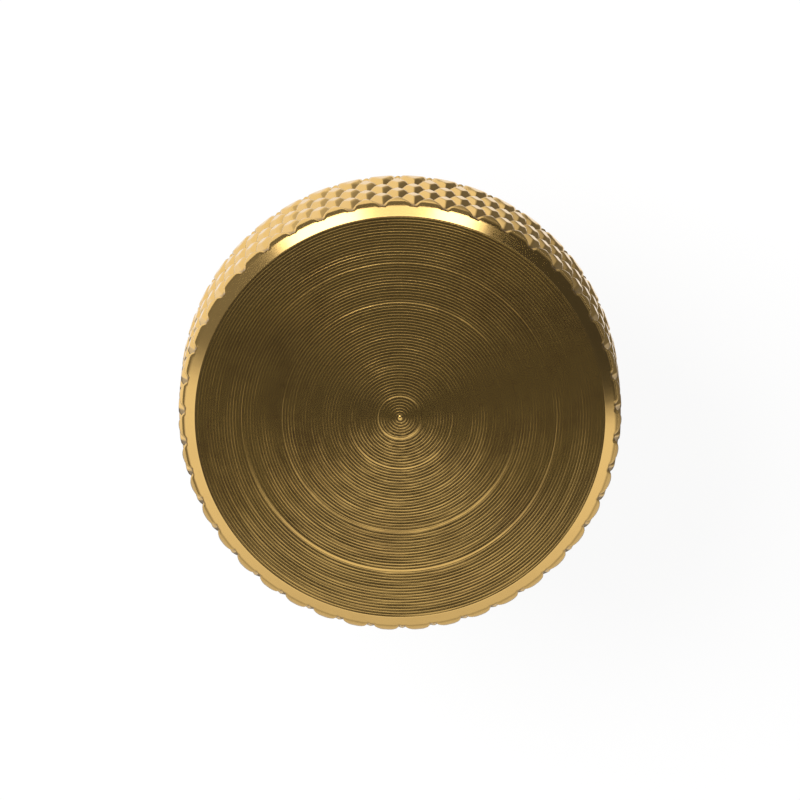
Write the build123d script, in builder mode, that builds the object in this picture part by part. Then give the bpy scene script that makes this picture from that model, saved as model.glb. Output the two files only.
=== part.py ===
"""Brass thumb screw, turned in one piece from bar.

A flat round head with a diamond knurl on its rim sits over a short threaded shank with a
flat tip. The screw stands on its tip: the origin is the centre of the tip's end face, and
+Z runs up the axis to the turned face of the head.
"""

import os
from math import cos, pi, radians, tan

from build123d import *

# Head, in millimetres and degrees
head_diameter = 20.0
head_thickness = 6.0
face_bevel_width = 0.75
seat_bevel_width = 0.70
bevel_angle = 26.0
edge_radius = 0.3

# Diamond knurl on the rim: two crossing sets of helical V-grooves
knurl_pitch = 1.2
knurl_helix = 35.0
knurl_depth = 0.40
knurl_v_angle = 90.0
knurl_overrun = 0.2

# Shank: an M6 thread, drawn at its major diameter up to the head
thread_diameter = 6.0
shank_length = 12.0
tip_chamfer_width = 0.65
tip_angle = 45.0

# Heights above the tip
seat_height = shank_length
face_height = seat_height + head_thickness
tip_chamfer_height = tip_chamfer_width * tan(radians(tip_angle))

# Radii, and the heights of the bevels round the face and round the seat
head_radius = head_diameter / 2
thread_radius = thread_diameter / 2
face_bevel_height = face_bevel_width * tan(radians(bevel_angle))
seat_bevel_height = seat_bevel_width * tan(radians(bevel_angle))

# A whole number of grooves goes round the rim, at the pitch measured square across them
rim_length = pi * head_diameter
knurl_count = round(rim_length * cos(radians(knurl_helix)) / knurl_pitch)
tooth_angle = 360 / knurl_count

# The teeth between the grooves, drawn sharp: the rim cuts their points down to flat lands
root_radius = head_radius - knurl_depth
flank_spread = tan(radians(knurl_v_angle / 2)) / cos(radians(knurl_helix))
point_radius = root_radius + rim_length / knurl_count / 2 / flank_spread
knurl_length = head_thickness + 2 * knurl_overrun
knurl_base = seat_height - knurl_overrun
knurl_twist = knurl_length * tan(radians(knurl_helix)) / rim_length * 360


def knurl_teeth(twist):
    """The metal between one set of grooves. Both sets are in step at the rim's mid height."""
    with BuildSketch(Plane.XY.offset(knurl_base)) as section:
        with BuildLine():
            corners = []
            for tooth in range(knurl_count):
                point_angle = tooth * tooth_angle - twist / 2
                corners.append(Vector(point_radius, 0).rotate(Axis.Z, point_angle))
                corners.append(Vector(root_radius, 0).rotate(Axis.Z, point_angle + tooth_angle / 2))
            Polyline(*corners, close=True)
        make_face()
    return Solid.extrude_linear_with_rotation(
        section.sketch.face(), (0, 0, knurl_base), (0, 0, knurl_length), twist
    )


right_hand_teeth = knurl_teeth(knurl_twist)
left_hand_teeth = knurl_teeth(-knurl_twist)

with BuildPart() as thumb_screw:
    # The turned head, bevelled round both of its flat sides
    with BuildSketch(Plane.XZ):
        with BuildLine():
            Polyline(
                (0, seat_height),
                (head_radius - seat_bevel_width, seat_height),
                (head_radius, seat_height + seat_bevel_height),
                (head_radius, face_height - face_bevel_height),
                (head_radius - face_bevel_width, face_height),
                (0, face_height),
                close=True,
            )
        make_face()
    revolve(axis=Axis.Z)

    # The corner between the rim and the bevel round the face is rounded
    rim = thumb_screw.faces().filter_by(GeomType.CYLINDER).sort_by(SortBy.RADIUS)[-1]
    fillet(rim.edges().filter_by(GeomType.CIRCLE).sort_by(Axis.Z)[-1], edge_radius)

    # The knurl is the metal that both sets of grooves leave
    add(right_hand_teeth, mode=Mode.INTERSECT)
    add(left_hand_teeth, mode=Mode.INTERSECT)

    # The shank, with its chamfered tip
    with BuildSketch(Plane.XZ):
        with BuildLine():
            Polyline(
                (0, 0),
                (thread_radius - tip_chamfer_width, 0),
                (thread_radius, tip_chamfer_height),
                (thread_radius, seat_height),
                (0, seat_height),
                close=True,
            )
        make_face()
    revolve(axis=Axis.Z)

thumb_screw.part.label = "thumb_screw"
os.makedirs("parts", exist_ok=True)
export_step(thumb_screw.part, "parts/thumb_screw.step")
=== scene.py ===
from math import cos, pi, radians, sin, tan

import bmesh
import bpy
from mathutils import Matrix, Vector


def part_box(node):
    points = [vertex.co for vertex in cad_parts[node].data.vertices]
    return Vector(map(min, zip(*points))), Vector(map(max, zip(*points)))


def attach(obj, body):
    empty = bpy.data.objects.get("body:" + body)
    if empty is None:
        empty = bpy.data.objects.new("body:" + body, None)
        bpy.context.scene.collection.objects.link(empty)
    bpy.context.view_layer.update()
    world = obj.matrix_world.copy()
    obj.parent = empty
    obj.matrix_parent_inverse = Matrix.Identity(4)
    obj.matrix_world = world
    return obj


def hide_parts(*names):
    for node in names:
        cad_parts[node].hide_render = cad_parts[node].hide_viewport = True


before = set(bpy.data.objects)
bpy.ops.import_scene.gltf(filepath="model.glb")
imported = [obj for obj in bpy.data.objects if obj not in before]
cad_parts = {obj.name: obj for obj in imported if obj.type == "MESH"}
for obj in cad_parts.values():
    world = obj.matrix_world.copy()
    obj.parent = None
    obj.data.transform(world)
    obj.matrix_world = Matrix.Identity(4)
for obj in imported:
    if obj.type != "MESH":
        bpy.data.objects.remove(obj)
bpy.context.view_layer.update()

MM = 0.001

# The thumb screw: one piece of brass, turned from bar, with a knurled rim and a threaded shank.
# Its half-section is drawn as rows of points from the face to the tip. A node tree turns them
# about the axis, presses the knurl into the rim and cuts the thread in the shank.
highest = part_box("thumb_screw")[1]
face_height = highest.z
head_radius = highest.x
face_radius = 9.25 * MM
seat_radius = 9.6 * MM
bevel_slope = tan(radians(26.0))
face_edge_radius = 0.05 * MM
rim_edge_radius = 0.58 * MM
seat_edge_radius = rim_edge_radius / 4
seat_height = face_height - 6.0 * MM

# The knurl has two crossing sets of grooves, one slightly shallower than the other. They are in
# step half a crossing below the rim's middle, so that the bevel's border has one scallop a
# groove. Both fade out towards the underside.
knurl_count = 43
knurl_helix_angle = radians(35.0)
knurl_helix_slope = tan(knurl_helix_angle)
knurl_root_radius = head_radius - 0.34 * MM
shallow_root_radius = head_radius - 0.32 * MM
knurl_flank_spread = tan(radians(45.0)) / cos(knurl_helix_angle)
knurl_fade_height = 1.3 * MM
knurl_fade_slope = 0.2
knurl_pitch = 2 * pi * head_radius / knurl_count
knurl_middle = (seat_height + face_height) / 2
steps_per_groove = 20
head_columns = knurl_count * steps_per_groove
rim_row_step = knurl_pitch / steps_per_groove / knurl_helix_slope
rows_each_way = 21
in_step_height = knurl_middle - steps_per_groove / 4 * rim_row_step

# The thread is a standard coarse one, with a small flat at the root.
thread_pitch = 1.0 * MM
thread_radius = 3.0 * MM
thread_root_radius = 2.39 * MM
thread_root_flat = 0.07 * MM
thread_top = 10.8 * MM
thread_flank_slope = tan(radians(30.0))
tip_radius = 2.35 * MM
shank_columns = 96
rows_per_turn = 20


def straight(start, end, rows):
    """Evenly spaced points from start up to, but not including, end."""
    return [
        tuple(a + (b - a) * row / rows for a, b in zip(start, end)) for row in range(rows)
    ]


def rounded(before, corner, after, radius, rows):
    """Points of the arc that rounds a corner between two straight runs."""
    corner = Vector(corner)
    toward_before = (Vector(before) - corner).normalized()
    toward_after = (Vector(after) - corner).normalized()
    half = toward_before.angle(toward_after) / 2
    centre = corner + (toward_before + toward_after).normalized() * radius / sin(half)
    first = corner + toward_before * radius / tan(half) - centre
    last = corner + toward_after * radius / tan(half) - centre
    sweep = first.angle_signed(last)
    points = []
    for row in range(rows + 1):
        turned = Matrix.Rotation(-sweep * row / rows, 2) @ first + centre
        points.append((turned.x, turned.y))
    return points


# The head's half-section. From one row of the rim to the next, a groove moves on by one column,
# so that the edges of the mesh follow the grooves.
bevel_rows = 12
joining_rows = 2
seat_bevel_rows = 5
rim_top = (head_radius, knurl_middle + rows_each_way * rim_row_step)
rim_bottom = (head_radius, knurl_middle - rows_each_way * rim_row_step)
face_centre = (0, face_height)
face_edge = (face_radius, face_height)
bevel_foot = (head_radius, face_height - (head_radius - face_radius) * bevel_slope)
seat_bevel_foot = (head_radius, seat_height + (head_radius - seat_radius) * bevel_slope)
seat_edge = (seat_radius, seat_height)
top_arc = rounded(face_centre, face_edge, bevel_foot, face_edge_radius, rows=3)
rim_arc = rounded(face_edge, bevel_foot, rim_top, rim_edge_radius, rows=10)
seat_arc = rounded(rim_bottom, seat_bevel_foot, seat_edge, seat_edge_radius, rows=5)
head_section = [
    *top_arc,
    *straight(top_arc[-1], rim_arc[0], bevel_rows)[1:],
    *rim_arc,
    *straight(rim_arc[-1], rim_top, joining_rows)[1:],
    *((head_radius, rim_top[1] - row * rim_row_step) for row in range(2 * rows_each_way)),
    *straight(rim_bottom, seat_arc[0], joining_rows),
    *seat_arc,
    *straight(seat_arc[-1], seat_edge, seat_bevel_rows)[1:],
    seat_edge,
]

# The shank's half-section, which is a plain bar before the thread is cut.
shank_top = (thread_radius, seat_height)
shank_foot = (thread_radius, 0)
shank_rows = round(seat_height / thread_pitch * rows_per_turn)
shank_section = [*straight(shank_top, shank_foot, shank_rows), shank_foot]


def section_mesh(name, points):
    """A half-section as a mesh of loose points in row order, from the head to the tip."""
    mesh = bpy.data.meshes.new(name)
    mesh.from_pydata([(radius, 0, height) for radius, height in points], [], [])
    return mesh


def give(tree, socket, value):
    """Links another node's output to the socket, or writes a plain value there."""
    if isinstance(value, bpy.types.NodeSocket):
        tree.links.new(value, socket)
    else:
        socket.default_value = value


def calc(tree, operation, *values, clamp=False):
    """A math node with these values or links as its inputs; gives its result."""
    node = tree.nodes.new("ShaderNodeMath")
    node.operation = operation
    node.use_clamp = clamp
    for socket, value in zip(node.inputs, values):
        give(tree, socket, value)
    return node.outputs[0]


def wire(tree, kind, inputs=None, **settings):
    """A node of a kind, with its settings made and its named inputs linked or filled."""
    node = tree.nodes.new(kind)
    for name, value in settings.items():
        setattr(node, name, value)
    for name, value in (inputs or {}).items():
        give(tree, node.inputs[name], value)
    return node


def turned_rows(tree, section, columns, rows):
    """The mesh of a closed wall, with each point's turn about the axis, radius and height."""
    grid = wire(tree, "GeometryNodeMeshGrid", {"Vertices X": columns, "Vertices Y": rows})
    index = wire(tree, "GeometryNodeInputIndex").outputs[0]
    row = calc(tree, "MODULO", index, rows)
    column = calc(tree, "FLOOR", calc(tree, "DIVIDE", index, rows))
    turn = calc(tree, "MULTIPLY", column, 2 * pi / (columns - 1))
    position = wire(tree, "GeometryNodeInputPosition").outputs[0]
    point = wire(
        tree,
        "GeometryNodeSampleIndex",
        {"Geometry": section, "Value": position, "Index": row},
        data_type="FLOAT_VECTOR",
    )
    parts = wire(tree, "ShaderNodeSeparateXYZ", {0: point.outputs[0]})
    return grid.outputs["Mesh"], turn, parts.outputs["X"], parts.outputs["Z"]


def place(tree, mesh, turn, radius, height):
    """The mesh with each of its points at that turn, radius and height."""
    position = wire(
        tree,
        "ShaderNodeCombineXYZ",
        {
            "X": calc(tree, "MULTIPLY", radius, calc(tree, "COSINE", turn)),
            "Y": calc(tree, "MULTIPLY", radius, calc(tree, "SINE", turn)),
            "Z": height,
        },
    )
    moved = wire(
        tree, "GeometryNodeSetPosition", {"Geometry": mesh, "Position": position.outputs[0]}
    )
    return moved.outputs[0]


def ring(tree, columns, radius, height, fill="NONE"):
    """A circle of points at that height, open or filled."""
    circle = wire(
        tree, "GeometryNodeMeshCircle", {"Vertices": columns, "Radius": radius}, fill_type=fill
    )
    moved = wire(
        tree,
        "GeometryNodeTransform",
        {"Geometry": circle.outputs[0], "Translation": (0, 0, height)},
    )
    return moved.outputs[0]


tree = bpy.data.node_groups.new("turned_and_knurled", "GeometryNodeTree")
tree.is_modifier = True
half_sections = {"Head Section": head_section, "Shank Section": shank_section}
sizes = {
    "Knurl Pitch": knurl_pitch,
    "Knurl Root Radius": knurl_root_radius,
    "Shallow Root Radius": shallow_root_radius,
    "Knurl Helix Slope": knurl_helix_slope,
    "Knurl Flank Spread": knurl_flank_spread,
    "Knurl Crest Rounding": 0.06 * MM,
    "Knurl Root Rounding": 0.03 * MM,
    "Thread Pitch": thread_pitch,
    "Thread Root Radius": thread_root_radius,
    "Thread Rounding": 0.05 * MM,
}
for name in half_sections:
    tree.interface.new_socket(name, in_out="INPUT", socket_type="NodeSocketObject")
for name in sizes:
    tree.interface.new_socket(name, in_out="INPUT", socket_type="NodeSocketFloat")
tree.interface.new_socket("Geometry", in_out="OUTPUT", socket_type="NodeSocketGeometry")
given = tree.nodes.new("NodeGroupInput").outputs
result = tree.nodes.new("NodeGroupOutput")

# The knurl. Along each set of grooves the wall falls from the crest to the nearest groove.
head_points = wire(tree, "GeometryNodeObjectInfo", {"Object": given["Head Section"]})
wall, turn, radius, height = turned_rows(
    tree, head_points.outputs["Geometry"], head_columns + 1, len(head_section)
)
along = calc(tree, "MULTIPLY", turn, head_radius)
above_in_step = calc(tree, "SUBTRACT", height, in_step_height)
slant = calc(tree, "MULTIPLY", above_in_step, given["Knurl Helix Slope"])
half_pitch = calc(tree, "MULTIPLY", given["Knurl Pitch"], 0.5)
below_fade = calc(tree, "SUBTRACT", seat_height + knurl_fade_height, height)
below_fade = calc(tree, "MAXIMUM", below_fade, 0.0)
knurl_fade = calc(tree, "MULTIPLY", below_fade, knurl_fade_slope)
for operation, root in (("ADD", "Knurl Root Radius"), ("SUBTRACT", "Shallow Root Radius")):
    across = calc(tree, "ADD", calc(tree, operation, along, slant), half_pitch)
    off_groove = calc(tree, "PINGPONG", across, half_pitch)
    off_groove = calc(tree, "SMOOTH_MAX", off_groove, 0.0, given["Knurl Root Rounding"])
    rise = calc(tree, "DIVIDE", off_groove, given["Knurl Flank Spread"])
    flank = calc(tree, "ADD", calc(tree, "ADD", rise, given[root]), knurl_fade)
    radius = calc(tree, "SMOOTH_MIN", radius, flank, given["Knurl Crest Rounding"])
head_wall = place(tree, wall, turn, radius, height)

# The thread. It climbs one pitch a turn, and the bar's own radius cuts its crests. Cones of
# 45 degrees end it below the head and at the tip.
shank_points = wire(tree, "GeometryNodeObjectInfo", {"Object": given["Shank Section"]})
wall, turn, radius, height = turned_rows(
    tree, shank_points.outputs["Geometry"], shank_columns + 1, len(shank_section)
)
turns = calc(tree, "DIVIDE", turn, 2 * pi)
climb = calc(tree, "MULTIPLY", turns, given["Thread Pitch"])
above_root = calc(tree, "SUBTRACT", height, climb)
half_pitch = calc(tree, "MULTIPLY", given["Thread Pitch"], 0.5)
off_root = calc(tree, "PINGPONG", above_root, half_pitch)
flank = calc(tree, "DIVIDE", off_root, thread_flank_slope)
flank_foot = thread_root_radius - thread_root_flat / thread_flank_slope
flank = calc(tree, "ADD", flank, flank_foot)
top_cone = calc(tree, "ADD", height, thread_root_radius - thread_top)
for floor_radius in (given["Thread Root Radius"], top_cone):
    flank = calc(tree, "SMOOTH_MAX", flank, floor_radius, given["Thread Rounding"])
tip_cone = calc(tree, "ADD", height, tip_radius)
for limit in (flank, tip_cone):
    radius = calc(tree, "SMOOTH_MIN", radius, limit, given["Thread Rounding"])
shank_wall = place(tree, wall, turn, radius, height)

# The flat faces: the head's face, the tip, and the head's underside round the shank.
face_disc = ring(tree, head_columns, top_arc[0][0], face_height, "NGON")
tip_flat = ring(tree, shank_columns, tip_radius, 0.0, "NGON")
both_rings = wire(tree, "GeometryNodeJoinGeometry")
tree.links.new(ring(tree, head_columns, seat_radius, 0.0), both_rings.inputs[0])
tree.links.new(ring(tree, shank_columns, thread_radius, 0.0), both_rings.inputs[0])
outlines = wire(tree, "GeometryNodeMeshToCurve", {0: both_rings.outputs[0]})
seat_fill = wire(tree, "GeometryNodeFillCurve", {0: outlines.outputs[0]})
seat = wire(
    tree,
    "GeometryNodeTransform",
    {"Geometry": seat_fill.outputs[0], "Translation": (0, 0, seat_height)},
)

# All of it is welded into one closed skin. The rim's brass goes on everything, and then the
# shank's on what lies no higher than the underside, and the face's on the face.
weld_distance = 0.004 * MM
level_slack = 0.0001 * MM
brass = {
    part: bpy.data.materials.new(part + "_brass") for part in ("face", "rim", "shank")
}
whole = wire(tree, "GeometryNodeJoinGeometry")
for patch in (head_wall, shank_wall, face_disc, tip_flat, seat.outputs[0]):
    tree.links.new(patch, whole.inputs[0])
joined = wire(
    tree,
    "GeometryNodeMergeByDistance",
    {"Geometry": whole.outputs[0], "Distance": weld_distance},
)
cut = wire(tree, "GeometryNodeTriangulate", {"Mesh": joined.outputs[0]})
smooth = wire(tree, "GeometryNodeSetShadeSmooth", {"Geometry": cut.outputs[0]})
painted = wire(tree, "GeometryNodeRealizeInstances", {"Geometry": smooth.outputs[0]})
spot = wire(tree, "GeometryNodeInputPosition").outputs[0]
spot_height = wire(tree, "ShaderNodeSeparateXYZ", {0: spot}).outputs["Z"]
on_shank = calc(tree, "LESS_THAN", spot_height, seat_height + level_slack)
on_face = calc(tree, "GREATER_THAN", spot_height, face_height - level_slack)
for part, chosen in (("rim", True), ("shank", on_shank), ("face", on_face)):
    painted = wire(
        tree,
        "GeometryNodeSetMaterial",
        {"Geometry": painted.outputs[0], "Selection": chosen, "Material": brass[part]},
    )
tree.links.new(painted.outputs[0], result.inputs[0])

section_objects = {
    name: bpy.data.objects.new(name, section_mesh(name, points))
    for name, points in half_sections.items()
}
holder = bpy.data.objects.new("screw_tree", bpy.data.meshes.new("screw_tree"))
bpy.context.scene.collection.objects.link(holder)
modifier = holder.modifiers.new("turned_and_knurled", "NODES")
modifier.node_group = tree
settings = {**sizes, **section_objects}
for item in tree.interface.items_tree:
    if item.in_out == "INPUT":
        modifier[item.identifier] = settings[item.name]
evaluated = holder.evaluated_get(bpy.context.evaluated_depsgraph_get())
screw_mesh = bpy.data.meshes.new_from_object(evaluated)
# The tree leaves an empty material slot before the three brasses.
screw_mesh.materials.pop(index=0)
for used in (holder, *section_objects.values()):
    bpy.data.objects.remove(used)
outward = bmesh.new()
outward.from_mesh(screw_mesh)
bmesh.ops.recalc_face_normals(outward, faces=outward.faces)
outward.to_mesh(screw_mesh)
outward.free()
screw = bpy.data.objects.new("thumb_screw_brass", screw_mesh)
bpy.context.scene.collection.objects.link(screw)
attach(screw, "root")
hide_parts("thumb_screw")

# The brass: one metal with three finishes. The face keeps the fine rings of the facing tool,
# the rim is smooth with painted shade in the bottoms of its grooves, and the shank is plain.
# All of it is tarnished.
brass_colour = (0.85, 0.55, 0.19, 1)
# The face's colour is the rim's brass made a little darker, as painted shade.
shaded_face_colour = (0.80, 0.51, 0.16, 1)
tarnish_colour = (0.42, 0.24, 0.09, 1)
# Painted shade in the bottoms of the knurl's grooves: its colour and how much of it.
groove_shade_colour = (0.16, 0.09, 0.04, 1)
groove_shade_share = 0.8


def shader_group(name, output, kind):
    """A new group of shader nodes with one output; gives the group and its output node."""
    group = bpy.data.node_groups.new(name, "ShaderNodeTree")
    group.interface.new_socket(output, in_out="OUTPUT", socket_type=kind)
    return group, group.nodes.new("NodeGroupOutput")


def vector_math(tree, operation, *values):
    """A vector math node with these values or links as its inputs; gives the node."""
    node = tree.nodes.new("ShaderNodeVectorMath")
    node.operation = operation
    for socket, value in zip(node.inputs, values):
        give(tree, socket, value)
    return node


def scaled(tree, vector, factor):
    """The vector times a factor, which is a number or a link."""
    node = vector_math(tree, "SCALE", vector)
    give(tree, node.inputs["Scale"], factor)
    return node.outputs[0]


def between(tree, value, low, high, to_low=0.0, to_high=1.0):
    """A smooth change from to_low at low to to_high at high, and level outside them."""
    limits = {"From Min": low, "From Max": high, "To Min": to_low, "To Max": to_high}
    node = wire(
        tree, "ShaderNodeMapRange", {"Value": value, **limits}, interpolation_type="SMOOTHSTEP"
    )
    return node.outputs[0]


def noise(tree, point, scale, detail):
    """Noise about 0.5. On a point in metres, the scale is about its waves in a metre."""
    settings = {"Vector": point, "Scale": scale, "Detail": detail, "Roughness": 0.6}
    return wire(tree, "ShaderNodeTexNoise", settings).outputs["Fac"]


def from_axis(tree):
    """A point, its distance from the screw's axis, and the way outward to it."""
    point = wire(tree, "ShaderNodeTexCoord").outputs["Object"]
    flat = vector_math(tree, "MULTIPLY", point, (1, 1, 0)).outputs[0]
    distance = vector_math(tree, "LENGTH", flat).outputs["Value"]
    return point, distance, vector_math(tree, "NORMALIZE", flat).outputs[0]


# Tarnish: soft brown clouds a few millimetres wide, with small specks in them.
cloud_start, cloud_full, cloud_share = 0.45, 0.75, 0.75
speck_start, speck_full, speck_share = 0.60, 0.75, 0.5
tarnish, tarnish_result = shader_group("tarnish", "Mask", "NodeSocketFloat")
point = wire(tarnish, "ShaderNodeTexCoord").outputs["Object"]
clouds = noise(tarnish, point, scale=340, detail=5)
clouds = between(tarnish, clouds, cloud_start, cloud_full, 0.0, cloud_share)
specks = noise(tarnish, point, scale=2600, detail=3)
specks = between(tarnish, specks, speck_start, speck_full, 0.0, speck_share)
mask = calc(tarnish, "ADD", clouds, specks, clamp=True)
tarnish.links.new(mask, tarnish_result.inputs[0])

# Turning marks: the spiral that the facing tool leaves. Each pass is a shallow groove with a
# thin raised edge, a few passes are bolder, and a pip is left at the centre. A lean is how far
# the surface's normal leans outward, and places and widths in a pass are shares of the feed.
feed = 0.131 * MM
groove_lean = 0.10
level_place = 0.80
raised_edge_width = 0.17
raised_edge_lean = 0.26
mean_strength = 0.85
strength_range = 0.30
scratch_lean = 0.035
# The pip and the bold rings: radius and width in millimetres, and lean.
bold_rings = (
    (0.07, 0.05, 0.40),
    (0.98, 0.05, 0.15),
    (2.35, 0.05, 0.08),
    (5.30, 0.06, 0.08),
    (7.10, 0.07, 0.11),
)


def drawn_noise(tree, distance, outward_way, along_scale, across_scale, detail):
    """Noise from -1 to 1 that is drawn out along the turning marks."""
    along_way = scaled(tree, outward_way, along_scale)
    across_way = calc(tree, "MULTIPLY", distance, across_scale)
    across_way = wire(tree, "ShaderNodeCombineXYZ", {"Z": across_way}).outputs[0]
    drawn_point = vector_math(tree, "ADD", along_way, across_way).outputs[0]
    return between(tree, noise(tree, drawn_point, 1.0, detail), 0.2, 0.8, -1.0, 1.0)


turning, turning_result = shader_group("turning_marks", "Normal", "NodeSocketVector")
point, distance, outward_way = from_axis(turning)
axes = wire(turning, "ShaderNodeSeparateXYZ", {0: point}).outputs
turns = calc(turning, "DIVIDE", calc(turning, "ARCTAN2", axes["Y"], axes["X"]), 2 * pi)
passes = calc(turning, "SUBTRACT", calc(turning, "DIVIDE", distance, feed), turns)
across = calc(turning, "FRACT", passes)
strength = drawn_noise(
    turning, distance, outward_way, along_scale=1.0, across_scale=1500, detail=3
)
strength = calc(turning, "MULTIPLY", strength, strength_range)
strength = calc(turning, "ADD", strength, mean_strength)
lean = calc(turning, "SUBTRACT", level_place, across)
lean = calc(turning, "MULTIPLY", lean, groove_lean)
edge = between(turning, across, 0.0, raised_edge_width, 1.0, 0.0)
edge = calc(turning, "MULTIPLY", edge, raised_edge_lean)
lean = calc(turning, "MULTIPLY", calc(turning, "ADD", lean, edge), strength)
scratches = drawn_noise(
    turning, distance, outward_way, along_scale=3.0, across_scale=12000, detail=2
)
lean = calc(turning, "ADD", lean, calc(turning, "MULTIPLY", scratches, scratch_lean))
for ring_radius, ring_width, ring_lean in bold_rings:
    off_ring = calc(turning, "SUBTRACT", distance, ring_radius * MM)
    off_ring = calc(turning, "ABSOLUTE", off_ring)
    bold = between(turning, off_ring, 0.0, ring_width * MM, ring_lean, 0.0)
    lean = calc(turning, "ADD", lean, bold)
leaning = vector_math(turning, "ADD", scaled(turning, outward_way, lean), (0, 0, 1))
turned_normal = vector_math(turning, "NORMALIZE", leaning.outputs[0]).outputs[0]
turning.links.new(turned_normal, turning_result.inputs[0])

# Fine grain: the slight unevenness of the other surfaces.
grain_depth = 0.012 * MM
grain, grain_result = shader_group("fine_grain", "Normal", "NodeSocketVector")
point = wire(grain, "ShaderNodeTexCoord").outputs["Object"]
grain_height = noise(grain, point, scale=900, detail=2)
bump = wire(
    grain, "ShaderNodeBump", {"Height": grain_height, "Strength": 0.3, "Distance": grain_depth}
)
grain.links.new(bump.outputs[0], grain_result.inputs[0])

# Painted groove shade: dark painted into the bottoms of the knurl's grooves, where shade falls,
# and none on the bevels, which are told from the grooves by how far their surface faces up or
# down.
groove_shade_rise = 0.12 * MM
groove_facing, bevel_facing = 0.65, 0.80
groove_shade, groove_shade_result = shader_group("painted_groove_shade", "Mask", "NodeSocketFloat")
distance = from_axis(groove_shade)[1]
facing = wire(groove_shade, "ShaderNodeNewGeometry").outputs["Normal"]
facing = wire(groove_shade, "ShaderNodeSeparateXYZ", {0: facing}).outputs["Z"]
facing = calc(groove_shade, "ABSOLUTE", facing)
in_groove = between(groove_shade, facing, groove_facing, bevel_facing, 1.0, 0.0)
deep = between(groove_shade, distance, knurl_root_radius, knurl_root_radius + groove_shade_rise, 1.0, 0.0)
groove_shade.links.new(calc(groove_shade, "MULTIPLY", deep, in_groove), groove_shade_result.inputs[0])


def mix_colours(tree, share, first, second):
    """The first colour with that share of the second. The node's sockets go by number."""
    inputs = {0: share, 6: first, 7: second}
    return wire(tree, "ShaderNodeMix", inputs, data_type="RGBA").outputs[2]


def finish_brass(part, colour, normals, roughness, tarnish_share):
    """Fills in one brass: its colour with tarnish, its gloss and its surface normals."""
    brass[part].use_nodes = True
    nodes = brass[part].node_tree
    shader = nodes.nodes["Principled BSDF"]
    shader.inputs["Metallic"].default_value = 1.0
    shader.inputs["Roughness"].default_value = roughness
    mask = wire(nodes, "ShaderNodeGroup", node_tree=tarnish).outputs[0]
    mask = calc(nodes, "MULTIPLY", mask, tarnish_share)
    mixed = mix_colours(nodes, mask, colour, tarnish_colour)
    # The rim gets painted shade in the bottoms of its grooves.
    if part == "rim":
        groove_shaded = wire(nodes, "ShaderNodeGroup", node_tree=groove_shade).outputs[0]
        groove_shaded = calc(nodes, "MULTIPLY", groove_shaded, groove_shade_share)
        mixed = mix_colours(nodes, groove_shaded, mixed, groove_shade_colour)
    nodes.links.new(mixed, shader.inputs["Base Color"])
    lie = wire(nodes, "ShaderNodeGroup", node_tree=normals).outputs[0]
    nodes.links.new(lie, shader.inputs["Normal"])


finish_brass("face", shaded_face_colour, turning, roughness=0.17, tarnish_share=0.55)
finish_brass("rim", brass_colour, grain, roughness=0.15, tarnish_share=0.15)
finish_brass("shank", brass_colour, grain, roughness=0.25, tarnish_share=0.35)

# The floor: a plain white table, which keeps the screw's faint shadow. The camera sees it,
# and metal reflects it, as the white background of the photograph.
floor_reach = 3.0
floor_drop = 0.02 * MM
floor_glow_share = 0.9
white = (1, 1, 1, 1)


def background_rays(tree):
    """1 for the rays that see a background: from the camera, off metal and through glass."""
    path = wire(tree, "ShaderNodeLightPath").outputs
    seen = calc(tree, "MAXIMUM", path["Is Camera Ray"], path["Is Glossy Ray"])
    return calc(tree, "MAXIMUM", seen, path["Is Transmission Ray"])


def mix_shaders(tree, share, first, second, output):
    """Sends an output node the first shader with that share of the second."""
    inputs = {0: share, 1: first.outputs[0], 2: second.outputs[0]}
    mixed = wire(tree, "ShaderNodeMixShader", inputs)
    tree.links.new(mixed.outputs[0], tree.nodes[output].inputs["Surface"])


floor_mesh = bpy.data.meshes.new("floor")
floor_mesh.from_pydata(
    [
        (x * floor_reach, y * floor_reach, -floor_drop)
        for x, y in ((-1, -1), (1, -1), (1, 1), (-1, 1))
    ],
    [],
    [(0, 1, 2, 3)],
)
floor = bpy.data.objects.new("floor", floor_mesh)
bpy.context.scene.collection.objects.link(floor)
floor_material = bpy.data.materials.new("floor_white")
floor_material.use_nodes = True
nodes = floor_material.node_tree
shader = nodes.nodes["Principled BSDF"]
shader.inputs["Base Color"].default_value = (0.9, 0.9, 0.9, 1)
shader.inputs["Roughness"].default_value = 0.9
glow = wire(nodes, "ShaderNodeEmission", {"Color": white, "Strength": 1.0})
share = calc(nodes, "MULTIPLY", background_rays(nodes), floor_glow_share)
mix_shaders(nodes, share, shader, glow, "Material Output")
floor_mesh.materials.append(floor_material)

# The world: white where it is seen, and a plain soft light elsewhere.
world = bpy.data.worlds.new("studio")
bpy.context.scene.world = world
world.use_nodes = True
nodes = world.node_tree
seen = wire(nodes, "ShaderNodeBackground", {"Color": white, "Strength": 1.0})
light = nodes.nodes["Background"]
light.inputs["Color"].default_value = white
light.inputs["Strength"].default_value = 0.6
mix_shaders(nodes, background_rays(nodes), light, seen, "World Output")

# The tent: a dome that the brass mirrors and nothing else sees. It is dark near the table and
# overhead, where the camera stands, and bright between, with lighter and darker panels in it.
# The brightness of its parts is 1 at the white of the background.
view_turn = -2.7
tent_radius = 1.2
foot_level, side_level, top_level = 0.06, 0.95, 0.045
side_start, side_full = 6.0, 36.0
top_start, top_full = 46.0, 61.0
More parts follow.
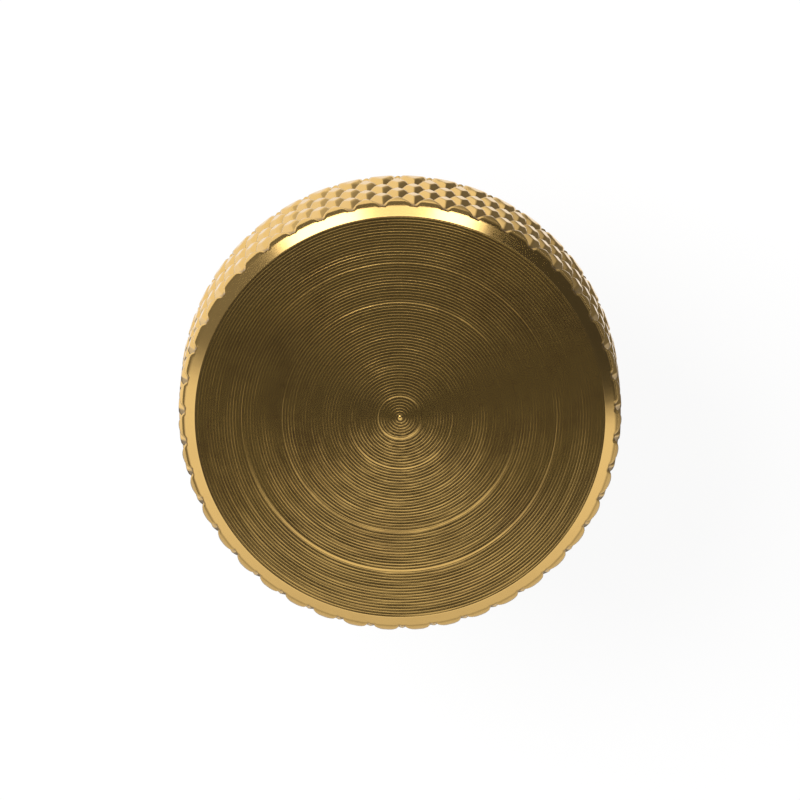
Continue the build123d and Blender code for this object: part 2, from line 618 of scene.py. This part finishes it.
# Each panel: azimuth, half width and soft edge, the first and last elevation and the fade
# beyond them, all in degrees, and then its brightness. Azimuth 0 is right, and 90 is behind.
tent_panels = (
    (270, 20, 22, 40, 66, 8, 0.92),
    (262, 70, 25, -10, 12, 8, 0.55),
    (90, 75, 30, 58, 82, 8, 0.62),
    (172, 35, 20, -5, 20, 6, 0.2),
    (92, 50, 20, -5, 40, 5, 0.18),
    (92, 34, 10, 46, 62, 4, 1.45),
    (25, 34, 8, 22, 64, 8, 0.06),
    (158, 15, 14, 22, 64, 8, 0.22),
    (118, 11, 6, 45, 58, 4, 5.0),
    (70, 5, 5, 45, 58, 4, 5.0),
)


def seen_by_metal_only(name, mesh):
    """A piece of the studio that shows in metal alone; gives its glow and its nodes."""
    piece = bpy.data.objects.new(name, mesh)
    bpy.context.scene.collection.objects.link(piece)
    piece.visible_camera = False
    piece.visible_diffuse = False
    piece.visible_shadow = False
    piece.visible_transmission = False
    material = bpy.data.materials.new(name)
    material.use_nodes = True
    nodes = material.node_tree
    nodes.nodes.remove(nodes.nodes["Principled BSDF"])
    glow = wire(nodes, "ShaderNodeEmission")
    nodes.links.new(glow.outputs[0], nodes.nodes["Material Output"].inputs["Surface"])
    mesh.materials.append(material)
    return glow.inputs["Strength"], nodes


def with_panels(tree, outward_way, measure, brightness, panels):
    """The brightness with panels laid over it, each between two angles and two measures."""
    for azimuth, half_width, soft, first, last, fade, level in panels:
        azimuth = radians(azimuth + view_turn)
        middle = (cos(azimuth), sin(azimuth), 0)
        facing = vector_math(tree, "DOT_PRODUCT", outward_way, middle).outputs["Value"]
        outer_cosine = cos(radians(min(half_width + soft, 180)))
        mask = between(tree, facing, outer_cosine, cos(radians(half_width)))
        rising = between(tree, measure, first - fade, first)
        falling = between(tree, measure, last, last + fade, 1.0, 0.0)
        mask = calc(tree, "MULTIPLY", mask, calc(tree, "MULTIPLY", rising, falling))
        change = calc(tree, "MULTIPLY", mask, calc(tree, "SUBTRACT", level, brightness))
        brightness = calc(tree, "ADD", brightness, change)
    return brightness


tent_mesh = bpy.data.meshes.new("tent")
shell = bmesh.new()
bmesh.ops.create_uvsphere(shell, u_segments=64, v_segments=32, radius=tent_radius)
shell.to_mesh(tent_mesh)
shell.free()
strength, nodes = seen_by_metal_only("tent", tent_mesh)
point, _, outward_way = from_axis(nodes)
way = vector_math(nodes, "NORMALIZE", point).outputs[0]
elevation = wire(nodes, "ShaderNodeSeparateXYZ", {0: way}).outputs["Z"]
elevation = calc(nodes, "MULTIPLY", calc(nodes, "ARCSINE", elevation), 180 / pi)
sides = between(nodes, elevation, side_start, side_full, foot_level, side_level)
overhead = between(nodes, elevation, top_start, top_full)
below = calc(nodes, "MULTIPLY", sides, calc(nodes, "SUBTRACT", 1.0, overhead))
above = calc(nodes, "MULTIPLY", overhead, top_level)
bare_tent = calc(nodes, "ADD", below, above)
nodes.links.new(with_panels(nodes, outward_way, elevation, bare_tent, tent_panels), strength)

# The mat: a disc on the table that the brass mirrors and nothing else sees. It is white, but
# grey further out in front, with a painted shadow of the screw close in front and painted
# shade to the right.
mat_radius = 0.5
mat_lift = 0.01 * MM
mat_level = 1.0
# Each panel as on the tent, but with its first and last distance and the fade in millimetres.
mat_panels = (
    (270, 60, 25, 26, 400, 8, 0.65),
    # A painted shadow of the screw, close in front.
    (270, 75, 15, 0, 20, 4, 0.15),
    (74, 10, 14, 20, 60, 5, 0.6),
    # Painted shade to the right.
    (26, 26, 33, 20, 400, 5, 0.17),
)
mat_mesh = bpy.data.meshes.new("mat")
disc = bmesh.new()
lift = Matrix.Translation((0, 0, mat_lift))
bmesh.ops.create_circle(disc, cap_ends=True, segments=64, radius=mat_radius, matrix=lift)
disc.to_mesh(mat_mesh)
disc.free()
strength, nodes = seen_by_metal_only("mat", mat_mesh)
_, distance, outward_way = from_axis(nodes)
distance = calc(nodes, "DIVIDE", distance, MM)
nodes.links.new(with_panels(nodes, outward_way, distance, mat_level, mat_panels), strength)

# One large soft lamp, up and to the left, gives the shadow on the table. Metal doesn't
# mirror it.
lamp_data = bpy.data.lights.new("key_lamp", "AREA")
lamp_data.energy = 8.0
lamp_data.size = 0.5
lamp = bpy.data.objects.new("key_lamp", lamp_data)
lamp.visible_glossy = False
lamp_place = Vector((-0.45, 0.35, 0.75))
lamp.location = lamp_place
lamp.rotation_euler = (-lamp_place).to_track_quat("-Z", "Y").to_euler()
bpy.context.scene.collection.objects.link(lamp)

# The camera: a long lens, a little off the screw's axis, with the far rim at the top. It aims
# slightly above the middle of the face.
view_tilt = radians(12.3)
view_distance = 450.5 * MM
aim_rise = 0.79 * MM
round_axis = Matrix.Rotation(radians(view_turn), 3, "Z")
up = round_axis @ Vector((0, cos(view_tilt), -sin(view_tilt)))
back = round_axis @ Vector((0, sin(view_tilt), cos(view_tilt)))
right = up.cross(back)
aim = Vector((0, 0, face_height)) + up * aim_rise
camera_data = bpy.data.cameras.new("camera")
camera_data.sensor_width = 36.0
camera_data.lens = 450.0
camera_data.clip_start = 0.01
camera = bpy.data.objects.new("camera", camera_data)
bpy.context.scene.collection.objects.link(camera)
camera.matrix_world = Matrix.Translation(aim + back * view_distance) @ Matrix(
    (right, up, back)
).transposed().to_4x4()
bpy.context.scene.camera = camera
bpy.context.scene.view_settings.view_transform = "Standard"
